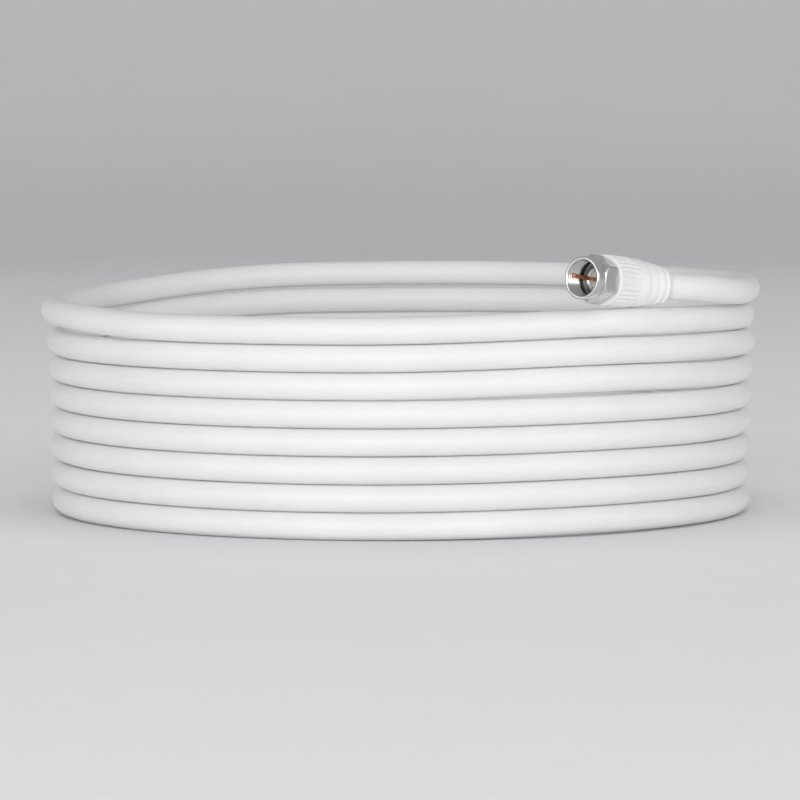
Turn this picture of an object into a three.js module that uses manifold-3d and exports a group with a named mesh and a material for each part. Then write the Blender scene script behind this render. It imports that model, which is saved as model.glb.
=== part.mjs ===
import * as THREE from "three";
import { mergeVertices } from "three/addons/utils/BufferGeometryUtils.js";
import Module from "manifold-3d";

// A white coaxial lead wound in one upright layer of turns, with a screw-on connector on each end.
// Millimetres, +Z up. The origin is the centre of the coil on the surface that it lies on.
// The front of the coil faces -Y.

// Cable and coil
const cableDiameter = 7;
const turns = 8;
const turnPitch = 7.086;
const bottomTurnRadius = 91.6;
const topTurnSpread = 2.9;
const spreadPower = 5;
const coilSegments = 60;
const restGap = 0.3;
const cableRadius = cableDiameter / 2;
const coilHeight = (turns - 1) * turnPitch + cableDiameter;
const topTurnRadius = bottomTurnRadius + topTurnSpread;

// Coupling nut, with depths counted back from its front face
const nutLength = 7.9;
const nutAcrossFlats = 11;
const collarDiameter = 10.9;
const hexagonStart = 3;
const hexagonChamfer = 0.8;
const rearChamfer = 0.6;
const nutEdge = 0.25;
const threadMinorDiameter = 8.9;
const threadLength = 5;
const reliefGrooveDepth = 0.3;
const nutLip = 0.7;

// Connector body, dielectric and centre conductor
const flangeDiameter = 8.6;
const flangeThickness = 0.7;
const neckDiameter = 6.4;
const neckLength = 6.1;
const dielectricDiameter = 4.6;
const conductorDiameter = 1.03;
const pinProjection = 3.8;
const runningGap = 0.3;
const seatGap = 0.3;
const nutToBootGap = 0.4;

// Moulded boot, with places counted back from its front face
const gripDiameter = 13.2;
const gripLength = 9.1;
const bulgeDiameter = 12.7;
const bulgeLength = 4.6;
const firstRingDiameter = 11.6;
const firstRingLength = 3.7;
const secondRingDiameter = 10.8;
const secondRingLength = 2.8;
const lastRingDiameter = 10;
const lastRingLength = 2;
const grooveDepth = 0.5;
const bootEdge = 0.4;

// How far out of its turn's centreline each nut's front face lies, and how far its centre lies
// above what is under it.
const topNutOutset = 3.22;
const topNutLift = 9.378;
const bottomNutOutset = 29.14;
const bottomNutLift = 6.65;

// Where each nut's front face lies round the coil, the way it points, and how far the boot bends
// with its cable.
const topNut = {
  angle: -62.12,
  radius: topTurnRadius + topNutOutset,
  height: coilHeight + topNutLift,
  heading: 230,
  tilt: 5.3,
  bootBend: 20,
  pinBend: 0.45,
};
const bottomNut = {
  angle: 133.6,
  radius: bottomTurnRadius + bottomNutOutset,
  height: bottomNutLift,
  heading: 185,
  tilt: 0,
  bootBend: 0,
  pinBend: 0.15,
};

// Route of the top end after the boot: degrees round the coil, inset from the top turn's
// centreline, and height above the coil's top.
const topLeadRoute = [
  [-36, -2.2, 5.7],
  [-29, -2.8, 4.6],
  [-22.5, -2.3, 4.1],
  [-16, -0.9, 3.9],
  [-8, 0.3, 3.85],
  [5, 0.5, 3.85],
  [18, 0.4, 3.85],
  [30, 0.3, 3.9],
  [50, 0.3, 4],
  [70, 0.3, 4.2],
  [90, 0.3, 4.3],
  [104, 0.3, 4.1],
  [118, 0.3, 3.1],
  [132, 0.3, 1.7],
  [146, 0.3, 0.1],
  [162, 0.3, -1.9],
];

// Route of the bottom end from the coil to its boot: millimetres along the straight that leaves
// the bottom turn at the back, sideways from it, and height of the cable's centre.
const bottomTailRoute = [
  [16, 0.1, 3.6],
  [27, 0.4, 3.7],
  [38, 0.8, 4.9],
];

const wasm = await Module();
wasm.setup();

const jacket = new THREE.MeshStandardMaterial({ color: 0xececea, roughness: 0.42, metalness: 0 });
const moulding = new THREE.MeshStandardMaterial({ color: 0xf0f0ee, roughness: 0.5, metalness: 0 });
const nickel = new THREE.MeshStandardMaterial({ color: 0xb4b4b2, roughness: 0.2, metalness: 1 });
const copper = new THREE.MeshStandardMaterial({ color: 0xb4643c, roughness: 0.35, metalness: 1 });
const foam = new THREE.MeshStandardMaterial({ color: 0xd8dad8, roughness: 0.6, metalness: 0 });

function radians(degrees) {
  return degrees * Math.PI / 180;
}

// Merges the vertices that share a place and drops triangles that have no area.
function weld(geometry) {
  const bare = geometry.clone();
  bare.deleteAttribute("normal");
  bare.deleteAttribute("uv");
  const merged = mergeVertices(bare, 1e-4);
  const corners = Array.from(merged.index.array);
  const kept = [];
  for (let i = 0; i < corners.length; i += 3) {
    const [a, b, c] = corners.slice(i, i + 3);
    if (a !== b && b !== c && c !== a) {
      kept.push(a, b, c);
    }
  }
  merged.setIndex(kept);
  return merged;
}

function toSolid(geometry) {
  const welded = weld(geometry);
  return new wasm.Manifold(new wasm.Mesh({
    numProp: 3,
    vertProperties: new Float32Array(welded.attributes.position.array),
    triVerts: new Uint32Array(welded.index.array),
  }));
}

function toGeometry(solid) {
  const mesh = solid.getMesh();
  const geometry = new THREE.BufferGeometry();
  geometry.setAttribute("position", new THREE.BufferAttribute(new Float32Array(mesh.vertProperties), 3));
  geometry.setIndex(new THREE.BufferAttribute(new Uint32Array(mesh.triVerts), 1));
  geometry.computeVertexNormals();
  return geometry;
}

// Turns an outline of [radius, height] points about Z.
function turned(outline, segments) {
  const points = outline.map(([radius, height]) => new THREE.Vector2(radius, height));
  const geometry = new THREE.LatheGeometry(points, segments);
  geometry.rotateX(Math.PI / 2);
  return geometry;
}

// A round bar of many-sided section along a smooth curve through the points.
function bar(points, diameter, sides, steps) {
  const section = new THREE.Shape();
  for (let i = 0; i < sides; i += 1) {
    const angle = 2 * Math.PI * i / sides;
    const x = diameter / 2 * Math.cos(angle);
    const y = diameter / 2 * Math.sin(angle);
    if (i === 0) {
      section.moveTo(x, y);
    } else {
      section.lineTo(x, y);
    }
  }
  section.closePath();
  const extrudePath = new THREE.CatmullRomCurve3(points);
  return new THREE.ExtrudeGeometry(section, { steps, extrudePath, bevelEnabled: false });
}

// The coil as one solid: eight turns, each eight-sided, fused where they touch.
// The upper turns lie a little wider than the lower ones.
function coilGeometry() {
  const cornerAngle = Math.PI / 8;
  const cornerRadius = cableRadius / Math.cos(cornerAngle);
  const halfFacet = cornerRadius * Math.sin(cornerAngle);
  const creviceReach = cableRadius * Math.SQRT2 - turnPitch / 2;
  const outer = [];
  const inner = [];
  for (let turn = 0; turn < turns; turn += 1) {
    const centre = bottomTurnRadius + topTurnSpread * Math.pow(turn / (turns - 1), spreadPower);
    const height = cableRadius + turn * turnPitch;
    if (turn === 0) {
      outer.push([centre + halfFacet, 0]);
      inner.push([centre - halfFacet, 0]);
    }
    outer.push([centre + cableRadius, height - halfFacet]);
    outer.push([centre + cableRadius, height + halfFacet]);
    inner.push([centre - cableRadius, height - halfFacet]);
    inner.push([centre - cableRadius, height + halfFacet]);
    if (turn === turns - 1) {
      outer.push([centre + halfFacet, coilHeight]);
      inner.push([centre - halfFacet, coilHeight]);
    } else {
      outer.push([centre + creviceReach, height + turnPitch / 2]);
      inner.push([centre - creviceReach, height + turnPitch / 2]);
    }
  }
  const outline = [...outer, ...inner.reverse()];
  outline.push(outline[0]);
  return turned(outline, coilSegments);
}

function nutGeometry() {
  const collar = collarDiameter / 2;
  const corner = nutAcrossFlats / 2 / Math.cos(Math.PI / 6);
  const thread = threadMinorDiameter / 2;
  const relief = thread + reliefGrooveDepth;
  const lipBore = neckDiameter / 2 + runningGap;
  const outline = [
    [lipBore, -nutLength],
    [corner - rearChamfer, -nutLength],
    [corner, -nutLength + rearChamfer],
    [corner, -hexagonStart - hexagonChamfer],
    [collar, -hexagonStart],
    [collar, -nutEdge],
    [collar - nutEdge, 0],
    [thread + nutEdge, 0],
    [thread, -nutEdge],
    [thread, -threadLength],
    [relief, -threadLength - reliefGrooveDepth],
    [relief, -nutLength + nutLip],
    [lipBore, -nutLength + nutLip],
    [lipBore, -nutLength],
  ];
  const prism = new THREE.CylinderGeometry(corner, corner, 2 * nutLength, 6);
  prism.rotateX(Math.PI / 2);
  return toGeometry(toSolid(turned(outline, 36)).intersect(toSolid(prism)));
}

// The flange sits against the nut's lip, and the neck goes back through it into the boot.
const flangeFront = nutLength - nutLip - runningGap - flangeThickness;
const neckEnd = flangeFront + flangeThickness + neckLength;

function bodyGeometry() {
  const bore = dielectricDiameter / 2 + seatGap;
  return turned([
    [bore, -neckEnd],
    [neckDiameter / 2, -neckEnd],
    [neckDiameter / 2, -flangeFront - flangeThickness],
    [flangeDiameter / 2, -flangeFront - flangeThickness],
    [flangeDiameter / 2, -flangeFront],
    [bore, -flangeFront],
    [bore, -neckEnd],
  ], 32);
}

function dielectricGeometry() {
  const bore = conductorDiameter / 2 + seatGap;
  return turned([
    [bore, -neckEnd],
    [dielectricDiameter / 2, -neckEnd],
    [dielectricDiameter / 2, -flangeFront],
    [bore, -flangeFront],
    [bore, -neckEnd],
  ], 24);
}

// The wire is straight inside the dielectric and bends up a little in front of it.
function conductorGeometry(pinBend) {
  const reach = flangeFront + pinProjection;
  return bar([
    new THREE.Vector3(0, 0, -neckEnd),
    new THREE.Vector3(0, 0, -(neckEnd + flangeFront) / 2),
    new THREE.Vector3(0, 0, -flangeFront),
    new THREE.Vector3(0, pinBend / 3, -flangeFront + reach / 2),
    new THREE.Vector3(0, pinBend, pinProjection),
  ], conductorDiameter, 12, 8);
}

const bootFront = nutLength + nutToBootGap;
const bootLength = gripLength + bulgeLength + firstRingLength + secondRingLength + lastRingLength;
const bootRear = bootFront + bootLength;

const socketEnd = neckEnd + seatGap;

// Bends the boot to its side from the end of its socket on.
function bendBoot(geometry, bootBend) {
  const bendRadius = (bootRear - socketEnd) / radians(bootBend);
  const corners = geometry.attributes.position;
  for (let i = 0; i < corners.count; i += 1) {
    const depth = -corners.getZ(i) - socketEnd;
    if (depth > 0) {
      const turn = depth / bendRadius;
      const out = bendRadius - corners.getX(i);
      corners.setX(i, bendRadius - out * Math.cos(turn));
      corners.setZ(i, -socketEnd - out * Math.sin(turn));
    }
  }
  geometry.computeVertexNormals();
  return geometry;
}

function bootGeometry(bootBend) {
  const socket = neckDiameter / 2 + seatGap;
  const sections = [
    [gripDiameter / 2, gripLength],
    [bulgeDiameter / 2, bulgeLength],
    [firstRingDiameter / 2, firstRingLength],
    [secondRingDiameter / 2, secondRingLength],
    [lastRingDiameter / 2, lastRingLength],
  ];
  const outline = [[0, -bootRear]];
  let rear = bootRear;
  for (const [radius, length] of sections.reverse()) {
    const front = rear - length;
    outline.push([radius - grooveDepth, -rear]);
    outline.push([radius, -rear + bootEdge]);
    outline.push([radius, -front - bootEdge]);
    rear = front;
  }
  outline.push([gripDiameter / 2 - bootEdge, -bootFront]);
  outline.push([socket, -bootFront]);
  outline.push([socket, -socketEnd]);
  outline.push([0, -socketEnd]);
  const straight = turned(outline, 32);
  return bootBend === 0 ? straight : bendBoot(straight, bootBend);
}

// A point above the coil's top turn, from [degrees, inset, height above the coil's top].
function aboveCoil([angle, inset, lift]) {
  const radius = topTurnRadius - inset;
  const turn = radians(angle);
  return new THREE.Vector3(radius * Math.cos(turn), radius * Math.sin(turn), coilHeight + lift);
}

// A point on the tail, which leaves the bottom turn at the back and heads for -X.
function behindCoil([along, sideways, height]) {
  return new THREE.Vector3(-along, bottomTurnRadius - sideways, height);
}

function pointing({ heading, tilt }) {
  const flat = Math.cos(radians(tilt));
  return new THREE.Vector3(
    flat * Math.cos(radians(heading)),
    flat * Math.sin(radians(heading)),
    Math.sin(radians(tilt)),
  );
}

// The level direction across a connector.
function sideOf(forward) {
  return new THREE.Vector3(0, 0, 1).cross(forward).normalize();
}

function nutFace({ angle, radius, height }) {
  const turn = radians(angle);
  return new THREE.Vector3(radius * Math.cos(turn), radius * Math.sin(turn), height);
}

function named(name, geometry, material) {
  const mesh = new THREE.Mesh(geometry, material);
  mesh.name = name;
  return mesh;
}

// A whole connector. Its local +Z is the way it points, local +Y is its upper side, and its
// local origin is the centre of the nut's front face.
function connector(suffix, placing) {
  const group = new THREE.Group();
  group.add(named(`coupling_nut_${suffix}`, nutGeometry(), nickel));
  group.add(named(`connector_body_${suffix}`, bodyGeometry(), nickel));
  group.add(named(`dielectric_${suffix}`, dielectricGeometry(), foam));
  group.add(named(`centre_conductor_${suffix}`, conductorGeometry(placing.pinBend), copper));
  group.add(named(`boot_${suffix}`, bootGeometry(placing.bootBend), moulding));
  const forward = pointing(placing);
  const side = sideOf(forward);
  const upper = forward.clone().cross(side);
  group.quaternion.setFromRotationMatrix(new THREE.Matrix4().makeBasis(side, upper, forward));
  group.position.copy(nutFace(placing));
  return group;
}

// The points from a boot's rear face back along its end, so that the cable leaves it square.
function leaving(placing, distances) {
  const forward = pointing(placing);
  const side = sideOf(forward);
  const bent = radians(placing.bootBend);
  const reach = bootRear - socketEnd;
  const sideways = bent === 0 ? 0 : reach * (1 - Math.cos(bent)) / bent;
  const backward = bent === 0 ? reach : reach * Math.sin(bent) / bent;
  const rear = nutFace(placing)
    .addScaledVector(forward, -socketEnd - backward)
    .addScaledVector(side, sideways);
  return distances.map((distance) => rear.clone()
    .addScaledVector(forward, -distance * Math.cos(bent))
    .addScaledVector(side, distance * Math.sin(bent)));
}

const topLeadPoints = [
  ...leaving(topNut, [seatGap, 4]),
  ...topLeadRoute.map(aboveCoil),
];
// The top end lies on the coil, then sinks into the top turn at the back left.
const coilClearance = new THREE.CylinderGeometry(2 * topTurnRadius, 2 * topTurnRadius, coilHeight, 8);
coilClearance.rotateX(Math.PI / 2);
coilClearance.translate(0, 0, coilHeight / 2 + restGap);
const topLead = toSolid(bar(topLeadPoints, cableDiameter, 10, 26)).subtract(toSolid(coilClearance));

const bottomTailPoints = [
  ...bottomTailRoute.map(behindCoil),
  ...leaving(bottomNut, [4, seatGap]),
];
// The bottom end comes out of the side of the bottom turn at the back.
const turnSide = new THREE.CylinderGeometry(
  bottomTurnRadius + cableRadius + restGap,
  bottomTurnRadius + cableRadius + restGap,
  4 * cableDiameter,
  180,
);
turnSide.rotateX(Math.PI / 2);
const bottomTail = toSolid(bar(bottomTailPoints, cableDiameter, 10, 6)).subtract(toSolid(turnSide));

const coil = new THREE.Group();
coil.add(named("cable_coil", coilGeometry(), jacket));
coil.add(named("cable_top_lead", toGeometry(topLead), jacket));
coil.add(named("cable_bottom_tail", toGeometry(bottomTail), jacket));
coil.add(connector("top", topNut));
coil.add(connector("bottom", bottomNut));

export default coil;
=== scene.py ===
import math

import bmesh
import bpy
from mathutils import Matrix, Vector


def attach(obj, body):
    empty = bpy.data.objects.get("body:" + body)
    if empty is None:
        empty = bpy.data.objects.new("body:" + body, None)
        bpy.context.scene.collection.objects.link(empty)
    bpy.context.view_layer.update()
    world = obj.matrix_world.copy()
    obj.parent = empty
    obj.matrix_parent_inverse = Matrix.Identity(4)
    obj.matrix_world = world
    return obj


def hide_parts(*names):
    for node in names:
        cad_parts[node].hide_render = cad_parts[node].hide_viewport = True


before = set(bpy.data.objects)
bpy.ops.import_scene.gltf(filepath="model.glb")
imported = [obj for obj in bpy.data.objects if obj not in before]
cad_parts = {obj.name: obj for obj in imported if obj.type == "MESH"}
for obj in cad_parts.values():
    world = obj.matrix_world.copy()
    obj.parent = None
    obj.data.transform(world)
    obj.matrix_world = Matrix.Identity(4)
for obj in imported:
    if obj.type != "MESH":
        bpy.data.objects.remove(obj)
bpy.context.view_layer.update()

# A coil of white coaxial lead with a screw-on connector on each end.
# Metres, +Z up. The origin is the centre of the coil on the floor, and the front faces -Y.

# Cable and coil
cable_diameter = 0.007
cable_radius = cable_diameter / 2
turns = 8
turn_pitch = 0.007086
bottom_turn_radius = 0.0916
top_turn_radius = 0.0945
coil_height = (turns - 1) * turn_pitch + cable_diameter

# Radius of the winding at every half turn, from the top right, where the lead comes in,
# to the bottom right.
half_turn_radii = (
    0.0939, 0.0942, 0.0927, 0.0925, 0.0928, 0.0921, 0.0923, 0.0921, 0.0921,
    0.0920, 0.0918, 0.0919, 0.0917, 0.0917, 0.0914, 0.0914, 0.0915, 0.0915,
)

# Each turn stays level round the front and steps down to the next one at the back left.
step_down_start = 104
step_down_end = 192

# Where a turn stands off the one below it: turn, degrees round the coil, half width in
# degrees, and the height of the gap. Turn 1 is the top one at the front.
slack_places = (
    (1, 90, 75, 0.0009),
    (1, 188, 52, 0.0016),
    (1, 312, 34, 0.0002),
    (2, 336, 24, 0.0004),
    (3, 304, 42, 0.0006),
    (5, 60, 50, 0.0003),
    (6, 190, 40, 0.0002),
    (8, 304, 46, 0.00045),
)

# Coupling nut, with depths counted back from its front face
nut_length = 0.0079
nut_across_flats = 0.011
collar_radius = 0.00545
hexagon_start = 0.003
thread_minor_radius = 0.00445
thread_depth = 0.00042
thread_pitch = 0.000794
thread_end = 0.005
relief_radius = 0.0049
nut_lip = 0.0007
lip_bore = 0.0035

# Connector body, dielectric and centre conductor
flange_radius = 0.0043
flange_front = 0.0062
flange_back = 0.0069
neck_radius = 0.0032
neck_end = 0.013
dielectric_radius = 0.0023
conductor_radius = 0.000515
pin_projection = 0.0038

# Moulded boot, with depths counted back from the nut's front face
boot_front = 0.0083
boot_rear = 0.0305
boot_socket_radius = 0.0035
boot_socket_end = 0.0133
boot_collar_bore = 0.00353
grip_radius = 0.0066
grip_length = 0.0091
grip_crown_fall = 0.00006
grip_ribs = 30
grip_groove_depth = 0.0004
grip_groove_start = 0.0087
grip_groove_end = 0.0172

# Where each nut's front face lies round the coil, the way it points, and how far the boot
# bends with its cable.
top_nut_angle = -62.12
top_nut_radius = 0.09772
top_nut_height = 0.06598
top_heading = 230
top_tilt = 5.3
top_boot_bend = 20
top_pin_bend = 0.00045
bottom_nut_angle = 133.6
bottom_nut_radius = 0.12074
bottom_nut_height = 0.00665
bottom_heading = 185
bottom_tilt = 0
bottom_boot_bend = 0
bottom_pin_bend = 0.00015

# The top end after its boot: degrees round the coil, inset from the top turn's centreline,
# and height above the coil's top.
top_lead_route = (
    (-36, -0.0022, 0.0057),
    (-29, -0.0028, 0.0046),
    (-22.5, -0.0023, 0.0041),
    (-16, -0.0009, 0.0039),
    (-8, 0.0003, 0.00385),
    (5, 0.0005, 0.00385),
    (18, 0.0004, 0.00385),
    (30, 0.0003, 0.0039),
    (50, 0.0003, 0.004),
    (70, 0.0003, 0.0042),
    (90, 0.0003, 0.0043),
    (104, 0.0003, 0.0041),
    (118, 0.0003, 0.0031),
    (132, 0.0003, 0.0017),
    (146, 0.0003, 0.0001),
    (162, 0.0003, -0.0019),
)

# The degrees round the coil up to which the top end holds the first turn up, and at which the
# turn takes the winding's own radius.
lead_lifts_to = 140
lead_joins_at = 30

# The bottom end: metres along the straight that leaves the bottom turn at the back,
# sideways from it, and height of the cable's centre.
bottom_tail_route = (
    (0.016, 0.0001, 0.0036),
    (0.027, 0.0004, 0.0037),
    (0.038, 0.0008, 0.0049),
)


# The camera

camera_data = bpy.data.cameras.new("photo_camera")
camera_data.lens = 193.2
camera_data.sensor_width = 36
camera_data.clip_start = 0.05
camera_data.clip_end = 20
camera = bpy.data.objects.new("photo_camera", camera_data)
camera.location = (0, -1.169, 0.1058)
camera.rotation_mode = "XYZ"
camera.rotation_euler = (math.radians(86.27), math.radians(0.12), 0)
bpy.context.scene.collection.objects.link(camera)
bpy.context.scene.camera = camera


# Shapes


def eased(t):
    """Goes from 0 to 1 with a level start and end."""
    t = min(1.0, max(0.0, t))
    return t * t * (3 - 2 * t)


def between(before, start, end, after, t):
    """A smooth curve through four values or points, from the second to the third."""
    return 0.5 * (
        2 * start
        + (end - before) * t
        + (2 * before - 5 * start + 4 * end - after) * t * t
        + (3 * start - before - 3 * end + after) * t * t * t
    )


def smooth_line(points, spacing):
    """Points at about the given spacing on one smooth curve through the points."""
    line = []
    last = len(points) - 1
    for i in range(last):
        before = points[max(i - 1, 0)]
        after = points[min(i + 2, last)]
        parts = max(1, round((points[i + 1] - points[i]).length / spacing))
        for k in range(parts):
            line.append(between(before, points[i], points[i + 1], after, k / parts))
    line.append(points[last])
    return line


def add_piece(name, mesh, smooth=True):
    for face in mesh.polygons:
        face.use_smooth = smooth
    piece = bpy.data.objects.new(name, mesh)
    bpy.context.scene.collection.objects.link(piece)
    return piece


def skin_rings(name, rings, closed=False, start_cap=False, end_cap=False):
    """A mesh over rings of points that have the same count. Closed joins the last ring to the first."""
    around = len(rings[0])
    vertices = [point for ring in rings for point in ring]
    faces = []
    count = len(rings)
    for i in range(count if closed else count - 1):
        here = i * around
        there = ((i + 1) % count) * around
        for k in range(around):
            following = (k + 1) % around
            faces.append((here + k, here + following, there + following, there + k))
    if start_cap:
        faces.append(tuple(reversed(range(around))))
    if end_cap:
        faces.append(tuple(range((count - 1) * around, count * around)))
    mesh = bpy.data.meshes.new(name)
    mesh.from_pydata(vertices, [], faces)
    mesh.validate()
    shape = bmesh.new()
    shape.from_mesh(mesh)
    bmesh.ops.recalc_face_normals(shape, faces=shape.faces)
    shape.to_mesh(mesh)
    shape.free()
    return mesh


def ring(radius, depth, around):
    """A ring about the connector's axis. radius is a number or a function of the angle."""
    points = []
    for k in range(around):
        angle = 2 * math.pi * k / around
        out = radius(angle) if callable(radius) else radius
        points.append((out * math.cos(angle), out * math.sin(angle), -depth))
    return points


def rounded(outline, corner_steps=4):
    """Rounds the corners of an outline of (radius, depth, rounding) and gives (radius, depth)."""
    result = []
    count = len(outline)
    for i, (radius, depth, rounding) in enumerate(outline):
        here = Vector((radius, depth))
        if rounding == 0:
            result.append(here)
            continue
        before = Vector(outline[i - 1][:2]) - here
        after = Vector(outline[(i + 1) % count][:2]) - here
        reach = min(rounding, before.length / 2, after.length / 2)
        start = here + before.normalized() * reach
        end = here + after.normalized() * reach
        for k in range(corner_steps + 1):
            t = k / corner_steps
            result.append(start * (1 - t) ** 2 + here * 2 * t * (1 - t) + end * t * t)
    return result


def turned_piece(name, outline, around):
    """A closed turned solid from a closed outline of (radius, depth, rounding)."""
    rings = [ring(point.x, point.y, around) for point in rounded(outline)]
    return add_piece(name, skin_rings(name, rings, closed=True))


def tube(name, line, radius, around, end_steps=0):
    """A round tube along a line, with a UV map in metres along it and around it."""
    count = len(line)
    forward = (line[1] - line[0]).normalized()
    level = Vector((0, 0, 1)) if abs(forward.z) < 0.9 else Vector((1, 0, 0))
    side = forward.cross(level).normalized()
    rings = []
    lengths = []
    length = 0
    for i in range(count):
        if i > 0:
            length += (line[i] - line[i - 1]).length
        forward = (line[min(i + 1, count - 1)] - line[max(i - 1, 0)]).normalized()
        side = (side - forward * side.dot(forward)).normalized()
        upward = forward.cross(side)
        from_end = min(i, count - 1 - i)
        out = radius
        if from_end < end_steps:
            out = radius * math.sqrt(1 - (1 - (from_end + 0.55) / (end_steps + 0.55)) ** 2)
        points = []
        for k in range(around):
            angle = 2 * math.pi * k / around
            points.append(line[i] + side * (out * math.cos(angle)) + upward * (out * math.sin(angle)))
        rings.append(points)
        lengths.append(length)
    mesh = skin_rings(name, rings, start_cap=True, end_cap=True)
    along_and_around = mesh.uv_layers.new(name="along_and_around")
    for face in mesh.polygons:
        steps = [vertex % around for vertex in face.vertices]
        wraps = max(steps) - min(steps) > around / 2
        for corner in face.loop_indices:
            vertex = mesh.loops[corner].vertex_index
            step = vertex % around
            if wraps and step < around / 2:
                step += around
            place = (lengths[vertex // around], 2 * math.pi * radius * step / around)
            along_and_around.data[corner].uv = place
    return add_piece(name, mesh)


# Where the connectors lie


def pointing(heading, tilt):
    flat = math.cos(math.radians(tilt))
    return Vector((
        flat * math.cos(math.radians(heading)),
        flat * math.sin(math.radians(heading)),
        math.sin(math.radians(tilt)),
    ))


def round_the_coil(angle, radius, height):
    turn = math.radians(angle)
    return Vector((radius * math.cos(turn), radius * math.sin(turn), height))


def connector_place(face, forward):
    """The connector's own frame: +Z the way it points, +Y its upper side, origin at the nut's face."""
    side = Vector((0, 0, 1)).cross(forward).normalized()
    upper = forward.cross(side)
    return Matrix((
        (side.x, upper.x, forward.x, face.x),
        (side.y, upper.y, forward.y, face.y),
        (side.z, upper.z, forward.z, face.z),
        (0, 0, 0, 1),
    ))


def along_the_boot(point, bend):
    """Carries a point of the straight boot over to the boot as it lies, bent behind its socket."""
    depth = -point[2] - boot_socket_end
    if bend == 0 or depth <= 0:
        return point
    bend_radius = (boot_rear - boot_socket_end) / math.radians(bend)
    turn = depth / bend_radius
    out = bend_radius - point[0]
    return (bend_radius - out * math.cos(turn), point[1], -boot_socket_end - out * math.sin(turn))


def leaving_the_boot(place, bend):
    """The cable's line from just inside the boot's rear face to 4 mm behind it."""
    turn = math.radians(bend)
    rear = Vector(along_the_boot((0, 0, -boot_rear), bend))
    away = Vector((math.sin(turn), 0, -math.cos(turn)))
    return [place @ (rear + away * behind) for behind in (-0.0004, 0.004)]


top_place = connector_place(
    round_the_coil(top_nut_angle, top_nut_radius, top_nut_height),
    pointing(top_heading, top_tilt),
)
bottom_place = connector_place(
    round_the_coil(bottom_nut_angle, bottom_nut_radius, bottom_nut_height),
    pointing(bottom_heading, bottom_tilt),
)


# The cable

stations_per_turn = 96
station_degrees = 360 / stations_per_turn
last_station = round((90 + turns * 360) / station_degrees)


def winding_radius(wound):
    """The winding's radius after so many degrees, counted from the top right."""
    last = len(half_turn_radii) - 1
    place = min(max(wound / 180, 0), last - 0.001)
    i = int(place)
    return between(
        half_turn_radii[max(i - 1, 0)],
        half_turn_radii[i],
        half_turn_radii[i + 1],
        half_turn_radii[min(i + 2, last)],
        place - i,
    )


def stand_off(wound):
    """The height of the gap under the cable there."""
    gap = 0
    for turn, angle, half_width, height in slack_places:
        away = abs(wound - angle - 360 * (turn - 1)) / half_width
        if away < 1:
            gap += height * (0.5 + 0.5 * math.cos(math.pi * away))
    return gap


def lead_value(angle, column):
    """The top end's inset (column 1) or height above the coil's top (column 2) where it lies on it."""
    last = len(top_lead_route) - 1
    i = 0
    while i < last - 1 and top_lead_route[i + 1][0] < angle:
        i += 1
    t = (angle - top_lead_route[i][0]) / (top_lead_route[i + 1][0] - top_lead_route[i][0])
    return between(
        top_lead_route[max(i - 1, 0)][column],
        top_lead_route[i][column],
        top_lead_route[i + 1][column],
        top_lead_route[min(i + 2, last)][column],
        t,
    )


def coil_centreline():
    """The winding, worked out from the floor up, so that each turn rests on the one below it."""
    heights = {}
    for station in range(last_station, -1, -1):
        wound = station * station_degrees
        below = station + stations_per_turn
        if below in heights:
            across = winding_radius(wound) - winding_radius(wound + 360)
            height = heights[below] + math.sqrt(turn_pitch ** 2 - across ** 2)
        else:
            turned_down = wound - 360 * (turns - 1)
            stepped = eased((turned_down - step_down_start) / (step_down_end - step_down_start))
            height = cable_radius + turn_pitch * (1 - stepped)
        if below in heights or wound > 360 * (turns - 1) + step_down_end:
            height += stand_off(wound)
        if wound < lead_lifts_to:
            height = max(height, coil_height + lead_value(wound, 2))
        heights[station] = height
    line = []
    for station in range(last_station + 1):
        wound = station * station_degrees
        radius = winding_radius(wound)
        if wound < lead_joins_at:
            lead_radius = top_turn_radius - lead_value(wound, 1)
            radius = lead_radius + (radius - lead_radius) * eased(wound / lead_joins_at)
        line.append(round_the_coil(wound, radius, heights[station]))
    return line


cable_points = leaving_the_boot(top_place, top_boot_bend)
for angle, inset, lift in top_lead_route:
    if angle < 0:
        cable_points.append(round_the_coil(angle, top_turn_radius - inset, coil_height + lift))
cable_points += coil_centreline()
for along, sideways, height in bottom_tail_route:
    cable_points.append(Vector((-along, bottom_turn_radius - sideways, height)))
cable_points += reversed(leaving_the_boot(bottom_place, bottom_boot_bend))

cable_line = smooth_line(cable_points, 0.003)
cable = tube("cable", cable_line, cable_radius, 28)
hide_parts("cable_coil", "cable_top_lead", "cable_bottom_tail")
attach(cable, "cable")


# The connectors


def hexagon_radius(angle):
    """The nut's outline across its six flats, with its edges a little rounded."""
    from_flat = (angle % (math.pi / 3)) - math.pi / 6
    flat = nut_across_flats / 2 / math.cos(from_flat)
    corner = nut_across_flats / 2 / math.cos(math.pi / 6) - 0.00006
    return min(flat, corner)


def nut_outside(cone_radius):
    def outline(angle):
        return min(hexagon_radius(angle - math.pi / 2), cone_radius)
    return outline


def thread_radius(depth):
    """A right-hand vee thread, with flat crests, that runs out at both ends."""
    def outline(angle):
        phase = (depth / thread_pitch + angle / (2 * math.pi)) % 1
        vee = 1 - abs(2 * phase - 1)
        cut = min(1, max(0, vee * 1.4 - 0.2))
        run_in = eased((depth - 0.0003) / 0.0004)
        run_out = eased((thread_end - depth) / 0.0005)
        return thread_minor_radius + thread_depth * cut * run_in * run_out
    return outline


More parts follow.
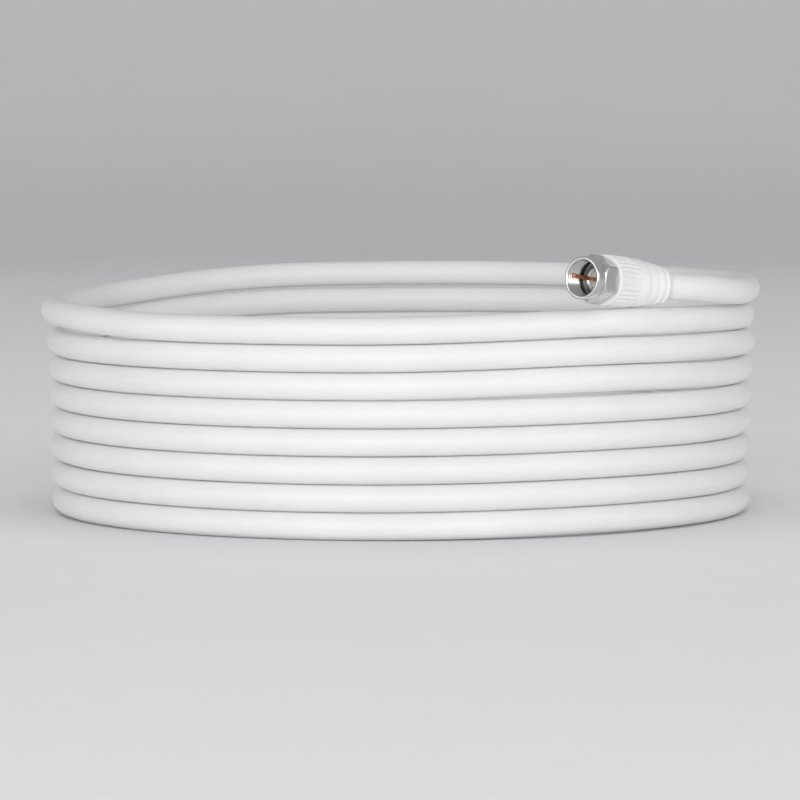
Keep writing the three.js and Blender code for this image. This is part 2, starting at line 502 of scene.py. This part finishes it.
def make_nut(name, place):
    around = 144
    corner = nut_across_flats / 2 / math.cos(math.pi / 6)
    rings = [
        ring(lip_bore, nut_length, around),
        ring(lip_bore + 0.0008, nut_length, around),
        ring(nut_outside(0.0050), nut_length, around),
        ring(nut_outside(0.0054), nut_length - 0.00002, around),
    ]
    for k in range(13):
        t = k / 12
        rear_cone = 0.0055 + (corner - 0.0055) * math.sin(t * math.pi / 2)
        rings.append(ring(nut_outside(rear_cone), nut_length - 0.00008 - 0.0005 * t, around))
    rings.append(ring(nut_outside(corner), hexagon_start + 0.0012, around))
    for k in range(15):
        t = k / 14
        front_cone = corner - (corner - collar_radius) * t
        rings.append(ring(nut_outside(front_cone), hexagon_start + 0.0008 * (1 - t), around))
    for out, depth in (
        (collar_radius - 0.00008, hexagon_start - 0.00006),
        (collar_radius - 0.00010, hexagon_start - 0.00016),
        (collar_radius - 0.00002, hexagon_start - 0.00030),
        (collar_radius, hexagon_start - 0.00045),
        (collar_radius, 0.0016),
        (collar_radius, 0.00035),
        (collar_radius - 0.00005, 0.00016),
        (collar_radius - 0.00015, 0.00005),
        (collar_radius - 0.00028, 0),
        (thread_minor_radius + 0.00038, 0),
        (thread_minor_radius + 0.00030, 0.00003),
        (thread_minor_radius + 0.00004, 0.00026),
        (thread_minor_radius, 0.00032),
    ):
        rings.append(ring(out, depth, around))
    thread_steps = 60
    for k in range(1, thread_steps + 1):
        depth = 0.00034 + (thread_end - 0.00034) * k / thread_steps
        rings.append(ring(thread_radius(depth), depth, around))
    for out, depth in (
        (relief_radius, thread_end + 0.0003),
        (relief_radius, nut_length - nut_lip - 0.0001),
        (relief_radius - 0.0001, nut_length - nut_lip),
        (lip_bore + 0.0001, nut_length - nut_lip),
        (lip_bore, nut_length - nut_lip + 0.0001),
        (lip_bore, nut_length - 0.0001),
    ):
        rings.append(ring(out, depth, around))
    nut = add_piece(name, skin_rings(name, rings, closed=True))
    nut.matrix_world = place
    return nut


def make_body(name, place):
    bore = dielectric_radius + 0.00012
    outline = (
        (bore, neck_end, 0),
        (neck_radius, neck_end, 0.0002),
        (neck_radius, 0.0105, 0),
        (neck_radius, flange_back, 0.0001),
        (flange_radius - 0.0001, flange_back, 0.00005),
        (flange_radius, flange_back - 0.0001, 0.00005),
        (flange_radius, flange_front + 0.00022, 0.0001),
        (flange_radius - 0.00042, flange_front, 0.00012),
        (bore + 0.00055, flange_front + 0.00002, 0.00005),
        (bore + 0.00022, flange_front + 0.0002, 0.00008),
        (bore, flange_front + 0.00025, 0.00004),
    )
    body = turned_piece(name, outline, 96)
    body.matrix_world = place
    return body


def make_dielectric(name, place):
    """The cable's core, cut square with a knife, so its edge is a little drawn over."""
    bore = conductor_radius + 0.00003
    around = 64
    rings = [ring(bore, neck_end, around), ring(dielectric_radius, neck_end, around)]

    def cut_edge(angle):
        return dielectric_radius + 0.00004 * math.sin(5 * angle) * math.sin(2 * angle + 1)

    for out, depth in (
        (0, 0.00035), (0.00006, 0.00015), (0.00018, 0.00004), (0.0004, 0), (0.0009, -0.00002),
    ):
        rings.append(ring(lambda angle: cut_edge(angle) - out, flange_front + depth, around))
    for out, depth in ((0.0010, -0.00003), (0.0007, 0), (conductor_radius + 0.00010, 0.00003)):
        rings.append(ring(out, flange_front + depth, around))
    rings.append(ring(bore, flange_front + 0.00012, around))
    core = add_piece(name, skin_rings(name, rings, closed=True))
    core.matrix_world = place
    return core


def make_pin(name, place, bend):
    """The bare wire, bent up a little in front of the core and snipped off at the tip."""
    reach = flange_front + pin_projection
    points = [
        Vector((0, 0, -neck_end)),
        Vector((0, 0, -(neck_end + flange_front) / 2)),
        Vector((0, 0, -flange_front)),
        Vector((0, bend / 3, -flange_front + reach / 2)),
        Vector((0, bend, pin_projection)),
    ]
    pin = tube(name, smooth_line(points, 0.0004), conductor_radius, 24)
    snipped = pin.data
    tip_start = pin_projection - 0.0009
    for vertex in snipped.vertices:
        if vertex.co.z > tip_start:
            t = (vertex.co.z - tip_start) / 0.0009
            vertex.co.x *= 1 - 0.34 * t * t
            vertex.co.y = bend + (vertex.co.y - bend) * (1 + 0.10 * t)
            vertex.co.z -= abs(vertex.co.x) * 0.5 * t
    pin.matrix_world = place
    return pin


def grip_radius_at(depth):
    """The grip's ribs: shallow grooves along it that fade out at both ends."""
    grip_middle = boot_front + grip_length / 2

    def outline(angle):
        from_middle = 2 * (depth - grip_middle) / grip_length
        crown = grip_radius - grip_crown_fall * from_middle ** 2
        start = eased((depth - grip_groove_start) / 0.0006)
        end = eased((grip_groove_end - depth) / 0.0012)
        wave = 0.5 + 0.5 * math.cos(grip_ribs * angle)
        return crown - grip_groove_depth * start * end * wave ** 1.6
    return outline


def make_boot(name, place, bend):
    around = grip_ribs * 8
    rings = [
        ring(boot_socket_radius, boot_socket_end, around),
        ring(boot_socket_radius, boot_front + 0.0001, around),
        ring(boot_socket_radius + 0.0001, boot_front, around),
    ]
    for out, depth in (
        (0.0059, 0), (0.0062, 0.00002), (0.00636, 0.00007), (0.00647, 0.00016), (0.00653, 0.00028),
    ):
        rings.append(ring(out, boot_front + depth, around))
    groove_steps = 26
    for k in range(groove_steps + 1):
        depth = grip_groove_start + (grip_groove_end - grip_groove_start) * k / groove_steps
        rings.append(ring(grip_radius_at(depth), depth, around))
    rear_outline = (
        (0.00650, 0.01726, 0),
        (0.00612, 0.01746, 0.0001),
        (0.00590, 0.01772, 0.0001),
        (0.00608, 0.01802, 0.0001),
        (0.00630, 0.01870, 0.0003),
        (0.00636, 0.02010, 0.0006),
        (0.00630, 0.02150, 0.0004),
        (0.00604, 0.02196, 0.0002),
        (0.00560, 0.02206, 0.0001),
        (0.00556, 0.02228, 0.0001),
        (0.00580, 0.02262, 0.0002),
        (0.00583, 0.02480, 0.0004),
        (0.00560, 0.02535, 0.0003),
        (0.00500, 0.02556, 0.0002),
        (0.00492, 0.02588, 0.0002),
        (0.00528, 0.02624, 0.0003),
        (0.00541, 0.02720, 0.0004),
        (0.00520, 0.02815, 0.0003),
        (0.00466, 0.02836, 0.0002),
        (0.00458, 0.02866, 0.0002),
        (0.00492, 0.02900, 0.0003),
        (0.00500, 0.02970, 0.0003),
        (0.00470, 0.03040, 0.0003),
        (0.00420, 0.03050, 0.0002),
        (0.00372, 0.03042, 0.0001),
        (boot_collar_bore, 0.03020, 0),
    )
    for point in rounded(rear_outline, 3)[:-1]:
        rings.append(ring(point.x, point.y, around))
    rings.append(ring(boot_collar_bore, boot_rear - 0.0003, around))
    rings.append(ring(boot_collar_bore - 0.0005, boot_rear - 0.0005, around))
    rings = [[along_the_boot(point, bend) for point in points] for points in rings]
    mesh = skin_rings(name, rings, start_cap=True, end_cap=True)
    boot = add_piece(name, mesh)
    boot.matrix_world = place
    return boot


def make_connector(suffix, place, boot_bend, pin_bend):
    nut = make_nut("nut_" + suffix, place)
    body = make_body("ferrule_" + suffix, place)
    core = make_dielectric("core_" + suffix, place)
    pin = make_pin("pin_" + suffix, place, pin_bend)
    boot = make_boot("moulded_boot_" + suffix, place, boot_bend)
    for piece, node, body_name, slot in (
        (nut, "coupling_nut_", "nut_" + suffix, "nickel"),
        (body, "connector_body_", "cable", "nickel"),
        (core, "dielectric_", "cable", "dielectric"),
        (pin, "centre_conductor_", "cable", "copper"),
        (boot, "boot_", "cable", "moulding"),
    ):
        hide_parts(node + suffix)
        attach(piece, body_name)
    return nut, body, core, pin, boot


top_connector = make_connector("top", top_place, top_boot_bend, top_pin_bend)
bottom_connector = make_connector("bottom", bottom_place, bottom_boot_bend, bottom_pin_bend)


# Finishes


def add_node(tree, kind, settings=(), inputs=()):
    made = tree.nodes.new(kind)
    for name, value in dict(settings).items():
        setattr(made, name, value)
    for name, value in dict(inputs).items():
        made.inputs[name].default_value = value
    return made


def new_group(name, inputs, outputs):
    group = bpy.data.node_groups.new(name, "ShaderNodeTree")
    for label, kind in inputs:
        group.interface.new_socket(name=label, in_out="INPUT", socket_type=kind)
    for label, kind in outputs:
        group.interface.new_socket(name=label, in_out="OUTPUT", socket_type=kind)
    entry = add_node(group, "NodeGroupInput")
    leave = add_node(group, "NodeGroupOutput")
    return group, entry, leave


def tone_drift_group():
    """Slow patches of two tones, as plastic and plating have."""
    group, entry, leave = new_group(
        "tone_drift",
        (
            ("Place", "NodeSocketVector"),
            ("Scale", "NodeSocketFloat"),
            ("Tone", "NodeSocketColor"),
            ("Other Tone", "NodeSocketColor"),
        ),
        (("Colour", "NodeSocketColor"), ("Mask", "NodeSocketFloat")),
    )
    patches = add_node(group, "ShaderNodeTexNoise", inputs={"Detail": 5, "Roughness": 0.55})
    contrast = add_node(
        group, "ShaderNodeMapRange", inputs={"From Min": 0.34, "From Max": 0.68}
    )
    blend = add_node(group, "ShaderNodeMix", {"data_type": "RGBA"})
    links = group.links
    links.new(entry.outputs["Place"], patches.inputs["Vector"])
    links.new(entry.outputs["Scale"], patches.inputs["Scale"])
    links.new(patches.outputs["Fac"], contrast.inputs["Value"])
    links.new(contrast.outputs["Result"], blend.inputs["Factor"])
    links.new(entry.outputs["Tone"], blend.inputs[6])
    links.new(entry.outputs["Other Tone"], blend.inputs[7])
    links.new(blend.outputs[2], leave.inputs["Colour"])
    links.new(contrast.outputs["Result"], leave.inputs["Mask"])
    return group


def fine_grain_group():
    """The skin's fine grain as a height, and how rough the grain leaves it."""
    group, entry, leave = new_group(
        "fine_grain",
        (
            ("Place", "NodeSocketVector"),
            ("Scale", "NodeSocketFloat"),
            ("Smooth", "NodeSocketFloat"),
            ("Rough", "NodeSocketFloat"),
        ),
        (("Height", "NodeSocketFloat"), ("Roughness", "NodeSocketFloat")),
    )
    grain = add_node(group, "ShaderNodeTexNoise", inputs={"Detail": 4, "Roughness": 0.6})
    coarse_scale = add_node(group, "ShaderNodeMath", {"operation": "MULTIPLY"}, {1: 0.06})
    handling = add_node(group, "ShaderNodeTexNoise", inputs={"Detail": 6, "Roughness": 0.65})
    spread = add_node(
        group, "ShaderNodeMapRange", inputs={"From Min": 0.3, "From Max": 0.7}
    )
    links = group.links
    links.new(entry.outputs["Place"], grain.inputs["Vector"])
    links.new(entry.outputs["Scale"], grain.inputs["Scale"])
    links.new(entry.outputs["Scale"], coarse_scale.inputs[0])
    links.new(entry.outputs["Place"], handling.inputs["Vector"])
    links.new(coarse_scale.outputs[0], handling.inputs["Scale"])
    links.new(handling.outputs["Fac"], spread.inputs["Value"])
    links.new(entry.outputs["Smooth"], spread.inputs["To Min"])
    links.new(entry.outputs["Rough"], spread.inputs["To Max"])
    links.new(grain.outputs["Fac"], leave.inputs["Height"])
    links.new(spread.outputs["Result"], leave.inputs["Roughness"])
    return group


def fine_lines_group():
    """Lines drawn out one way, as an extruder's die, a lathe or a wire die leaves them."""
    group, entry, leave = new_group(
        "fine_lines",
        (
            ("Place", "NodeSocketVector"),
            ("Stretch", "NodeSocketVector"),
            ("Detail", "NodeSocketFloat"),
        ),
        (("Height", "NodeSocketFloat"), ("Mask", "NodeSocketFloat")),
    )
    stretched = add_node(group, "ShaderNodeVectorMath", {"operation": "MULTIPLY"})
    lines = add_node(group, "ShaderNodeTexNoise", inputs={"Scale": 1.0, "Roughness": 0.7})
    sparse = add_node(
        group, "ShaderNodeMapRange", inputs={"From Min": 0.6, "From Max": 0.78}
    )
    links = group.links
    links.new(entry.outputs["Place"], stretched.inputs[0])
    links.new(entry.outputs["Stretch"], stretched.inputs[1])
    links.new(stretched.outputs["Vector"], lines.inputs["Vector"])
    links.new(entry.outputs["Detail"], lines.inputs["Detail"])
    links.new(lines.outputs["Fac"], sparse.inputs["Value"])
    links.new(lines.outputs["Fac"], leave.inputs["Height"])
    links.new(sparse.outputs["Result"], leave.inputs["Mask"])
    return group


tone_drift = tone_drift_group()
fine_grain = fine_grain_group()
fine_lines = fine_lines_group()


def new_finish(name, inputs):
    material = bpy.data.materials.new(name)
    material.use_nodes = True
    tree = material.node_tree
    tree.nodes.clear()
    surface = add_node(tree, "ShaderNodeBsdfPrincipled", inputs=inputs)
    output = add_node(tree, "ShaderNodeOutputMaterial")
    tree.links.new(surface.outputs["BSDF"], output.inputs["Surface"])
    return material, tree, surface


def place_group(tree, group, inputs):
    return add_node(tree, "ShaderNodeGroup", {"node_tree": group}, inputs)


def bump_from(tree, height, distance, strength, onto=None):
    bump = add_node(
        tree, "ShaderNodeBump", inputs={"Distance": distance, "Strength": strength}
    )
    tree.links.new(height, bump.inputs["Height"])
    if onto:
        tree.links.new(onto.outputs["Normal"], bump.inputs["Normal"])
    return bump


def darken_by(tree, colour, mask, amount, tint):
    """Works a tint into a colour where the mask is set."""
    share = add_node(tree, "ShaderNodeMath", {"operation": "MULTIPLY"}, {1: amount})
    mixed = add_node(tree, "ShaderNodeMix", {"data_type": "RGBA"})
    mixed.inputs[7].default_value = tint
    tree.links.new(mask, share.inputs[0])
    tree.links.new(share.outputs[0], mixed.inputs["Factor"])
    tree.links.new(colour, mixed.inputs[6])
    return mixed.outputs[2]


def white_jacket():
    """Extruded satin PVC, with die lines along it and the braid just felt through it."""
    material, tree, surface = new_finish(
        "white_jacket", {"IOR": 1.5, "Specular IOR Level": 0.42, "Subsurface Weight": 0.06}
    )
    surface.inputs["Subsurface Radius"].default_value = (0.002, 0.0018, 0.0015)
    surface.inputs["Subsurface Scale"].default_value = 0.5
    coordinates = add_node(tree, "ShaderNodeTexCoord")
    rolled_out = add_node(tree, "ShaderNodeUVMap", {"uv_map": "along_and_around"})
    tone = place_group(tree, tone_drift, {
        "Scale": 34, "Tone": (0.85, 0.849, 0.845, 1), "Other Tone": (0.81, 0.81, 0.808, 1),
    })
    grain = place_group(tree, fine_grain, {"Scale": 2600, "Smooth": 0.34, "Rough": 0.5})
    die_lines = place_group(tree, fine_lines, {"Stretch": (14, 3200, 1), "Detail": 3})
    braid = place_group(tree, fine_lines, {"Stretch": (420, 900, 1), "Detail": 1})
    links = tree.links
    links.new(coordinates.outputs["Object"], tone.inputs["Place"])
    links.new(coordinates.outputs["Object"], grain.inputs["Place"])
    links.new(rolled_out.outputs["UV"], die_lines.inputs["Place"])
    links.new(rolled_out.outputs["UV"], braid.inputs["Place"])
    colour = darken_by(
        tree, tone.outputs["Colour"], die_lines.outputs["Mask"], 0.25, (0.62, 0.62, 0.6, 1)
    )
    links.new(colour, surface.inputs["Base Color"])
    links.new(grain.outputs["Roughness"], surface.inputs["Roughness"])
    braid_bump = bump_from(tree, braid.outputs["Height"], 0.00006, 0.5)
    line_bump = bump_from(tree, die_lines.outputs["Height"], 0.00002, 0.6, braid_bump)
    grain_bump = bump_from(tree, grain.outputs["Height"], 0.000012, 0.6, line_bump)
    links.new(grain_bump.outputs["Normal"], surface.inputs["Normal"])
    return material


def moulded_white():
    """Moulded PVC, a little whiter and duller than the jacket, with flow marks and a parting line."""
    material, tree, surface = new_finish(
        "moulded_white", {"IOR": 1.5, "Specular IOR Level": 0.4, "Subsurface Weight": 0.08}
    )
    surface.inputs["Subsurface Radius"].default_value = (0.002, 0.0018, 0.0015)
    surface.inputs["Subsurface Scale"].default_value = 0.5
    coordinates = add_node(tree, "ShaderNodeTexCoord")
    tone = place_group(tree, tone_drift, {
        "Scale": 210, "Tone": (0.88, 0.88, 0.876, 1), "Other Tone": (0.84, 0.84, 0.838, 1),
    })
    grain = place_group(tree, fine_grain, {"Scale": 3400, "Smooth": 0.4, "Rough": 0.58})
    flow = place_group(tree, fine_lines, {"Stretch": (700, 700, 180), "Detail": 3})
    apart = add_node(tree, "ShaderNodeSeparateXYZ")
    side_on = add_node(tree, "ShaderNodeMath", {"operation": "ABSOLUTE"})
    parting = add_node(tree, "ShaderNodeMapRange", {"interpolation_type": "SMOOTHSTEP"}, {
        "From Min": 0.0, "From Max": 0.00010, "To Min": 1.0, "To Max": 0.0,
    })
    links = tree.links
    for place in (tone, grain, flow):
        links.new(coordinates.outputs["Object"], place.inputs["Place"])
    links.new(coordinates.outputs["Object"], apart.inputs["Vector"])
    links.new(apart.outputs["Y"], side_on.inputs[0])
    links.new(side_on.outputs[0], parting.inputs["Value"])
    colour = darken_by(
        tree, tone.outputs["Colour"], flow.outputs["Mask"], 0.3, (0.66, 0.66, 0.64, 1)
    )
    links.new(colour, surface.inputs["Base Color"])
    links.new(grain.outputs["Roughness"], surface.inputs["Roughness"])
    line_bump = bump_from(tree, parting.outputs["Result"], 0.00002, 0.5)
    grain_bump = bump_from(tree, grain.outputs["Height"], 0.00002, 0.6, line_bump)
    links.new(grain_bump.outputs["Normal"], surface.inputs["Normal"])
    return material


def nickel_plate():
    """Bright nickel on turned brass, with tool marks round it and a few rubbed spots."""
    material, tree, surface = new_finish(
        "nickel_plate", {"Metallic": 1.0, "IOR": 1.8, "Specular IOR Level": 0.5}
    )
    coordinates = add_node(tree, "ShaderNodeTexCoord")
    tone = place_group(tree, tone_drift, {
        "Scale": 300, "Tone": (0.68, 0.675, 0.665, 1), "Other Tone": (0.61, 0.605, 0.59, 1),
    })
    grain = place_group(tree, fine_grain, {"Scale": 5200, "Smooth": 0.13, "Rough": 0.24})
    tool_marks = place_group(tree, fine_lines, {"Stretch": (60, 60, 16000), "Detail": 2})
    scratches = place_group(tree, fine_lines, {"Stretch": (900, 9000, 2600), "Detail": 2})
    links = tree.links
    for place in (tone, grain, tool_marks, scratches):
        links.new(coordinates.outputs["Object"], place.inputs["Place"])
    colour = darken_by(
        tree, tone.outputs["Colour"], scratches.outputs["Mask"], 0.35, (0.36, 0.34, 0.31, 1)
    )
    links.new(colour, surface.inputs["Base Color"])
    links.new(grain.outputs["Roughness"], surface.inputs["Roughness"])
    mark_bump = bump_from(tree, tool_marks.outputs["Height"], 0.000012, 0.5)
    grain_bump = bump_from(tree, grain.outputs["Height"], 0.000005, 0.5, mark_bump)
    links.new(grain_bump.outputs["Normal"], surface.inputs["Normal"])
    return material


def drawn_copper():
    """Bare drawn wire, brown where it has been handled and darker along its die lines."""
    material, tree, surface = new_finish("drawn_copper", {"Metallic": 1.0, "IOR": 1.6})
    coordinates = add_node(tree, "ShaderNodeTexCoord")
    tone = place_group(tree, tone_drift, {
        "Scale": 900, "Tone": (0.80, 0.36, 0.17, 1), "Other Tone": (0.42, 0.13, 0.06, 1),
    })
    grain = place_group(tree, fine_grain, {"Scale": 9000, "Smooth": 0.26, "Rough": 0.46})
    die_lines = place_group(tree, fine_lines, {"Stretch": (9000, 9000, 300), "Detail": 2})
    links = tree.links
    for place in (tone, grain, die_lines):
        links.new(coordinates.outputs["Object"], place.inputs["Place"])
    colour = darken_by(
        tree, tone.outputs["Colour"], die_lines.outputs["Mask"], 0.6, (0.2, 0.06, 0.03, 1)
    )
    links.new(colour, surface.inputs["Base Color"])
    links.new(grain.outputs["Roughness"], surface.inputs["Roughness"])
    line_bump = bump_from(tree, die_lines.outputs["Height"], 0.00001, 0.6)
    links.new(line_bump.outputs["Normal"], surface.inputs["Normal"])
    return material


def foamed_core():
    """The foamed polyethylene core, with the open cells that a knife leaves."""
    material, tree, surface = new_finish(
        "foamed_core", {"IOR": 1.45, "Specular IOR Level": 0.3, "Subsurface Weight": 0.2}
    )
    surface.inputs["Subsurface Radius"].default_value = (0.0015, 0.0015, 0.0015)
    surface.inputs["Subsurface Scale"].default_value = 0.4
    coordinates = add_node(tree, "ShaderNodeTexCoord")
    tone = place_group(tree, tone_drift, {
        "Scale": 800, "Tone": (0.80, 0.815, 0.79, 1), "Other Tone": (0.66, 0.69, 0.66, 1),
    })
    grain = place_group(tree, fine_grain, {"Scale": 4200, "Smooth": 0.5, "Rough": 0.75})
    cells = add_node(tree, "ShaderNodeTexVoronoi", inputs={"Scale": 5200})
    links = tree.links
    links.new(coordinates.outputs["Object"], tone.inputs["Place"])
    links.new(coordinates.outputs["Object"], grain.inputs["Place"])
    links.new(coordinates.outputs["Object"], cells.inputs["Vector"])
    links.new(tone.outputs["Colour"], surface.inputs["Base Color"])
    links.new(grain.outputs["Roughness"], surface.inputs["Roughness"])
    cell_bump = bump_from(tree, cells.outputs["Distance"], 0.00005, 0.7)
    grain_bump = bump_from(tree, grain.outputs["Height"], 0.00002, 0.5, cell_bump)
    links.new(grain_bump.outputs["Normal"], surface.inputs["Normal"])
    return material


def pale_floor_paint():
    material, tree, surface = new_finish("pale_floor", {"Specular IOR Level": 0.2})
    coordinates = add_node(tree, "ShaderNodeTexCoord")
    tone = place_group(tree, tone_drift, {
        "Scale": 1.4, "Tone": (0.60, 0.605, 0.61, 1), "Other Tone": (0.58, 0.587, 0.595, 1),
    })
    grain = place_group(tree, fine_grain, {"Scale": 500, "Smooth": 0.6, "Rough": 0.75})
    links = tree.links
    links.new(coordinates.outputs["Object"], tone.inputs["Place"])
    links.new(coordinates.outputs["Object"], grain.inputs["Place"])
    links.new(tone.outputs["Colour"], surface.inputs["Base Color"])
    links.new(grain.outputs["Roughness"], surface.inputs["Roughness"])
    return material


cable.data.materials.append(white_jacket())
nickel = nickel_plate()
moulding = moulded_white()
copper = drawn_copper()
foam = foamed_core()
for nut, body, core, pin, boot in (top_connector, bottom_connector):
    nut.data.materials.append(nickel)
    body.data.materials.append(nickel)
    core.data.materials.append(foam)
    pin.data.materials.append(copper)
    boot.data.materials.append(moulding)


# The studio

sweep_rings = []
for out, height in (
    (0.02, 0), (0.4, 0), (1.2, 0), (2.2, 0), (2.6, 0.03), (2.85, 0.15), (3.0, 0.4), (3.05, 1.1),
):
    sweep_rings.append([
        (out * math.cos(math.radians(7.5 * k)), out * math.sin(math.radians(7.5 * k)), height)
        for k in range(48)
    ])
sweep_mesh = skin_rings("studio_sweep", sweep_rings, start_cap=True)
sweep_mesh.flip_normals()
sweep = add_piece("studio_sweep", sweep_mesh)
sweep.data.materials.append(pale_floor_paint())


def soft_light(name, at, width, height, power):
    light = bpy.data.lights.new(name, "AREA")
    light.shape = "RECTANGLE"
    light.size = width
    light.size_y = height
    light.energy = power
    lamp = bpy.data.objects.new(name, light)
    lamp.location = at
    lamp.rotation_euler = (Vector((0, 0, 0.04)) - Vector(at)).to_track_quat("-Z", "Y").to_euler()
    lamp.visible_camera = False
    bpy.context.scene.collection.objects.link(lamp)
    return lamp


soft_light("front_light", (0, -1.9, 0.5), 3.2, 1.0, 24)
soft_light("left_light", (-1.7, -0.9, 0.5), 0.9, 0.9, 4)
soft_light("right_light", (1.7, -0.9, 0.5), 0.9, 0.9, 4)
floor_light = soft_light("floor_light", (0, 0.3, 2.3), 3.0, 3.0, 30)

# The floor light is for the floor alone.
floor_only = bpy.data.collections.new("floor_only")
floor_only.objects.link(sweep)
floor_light.light_linking.receiver_collection = floor_only

world = bpy.data.worlds.new("studio_air")
world.use_nodes = True
sky = world.node_tree.nodes["Background"]
sky.inputs["Color"].default_value = (1, 1, 1, 1)
sky.inputs["Strength"].default_value = 0.42
bpy.context.scene.world = world
bpy.context.scene.view_settings.view_transform = "Standard"
bpy.context.scene.view_settings.look = "None"
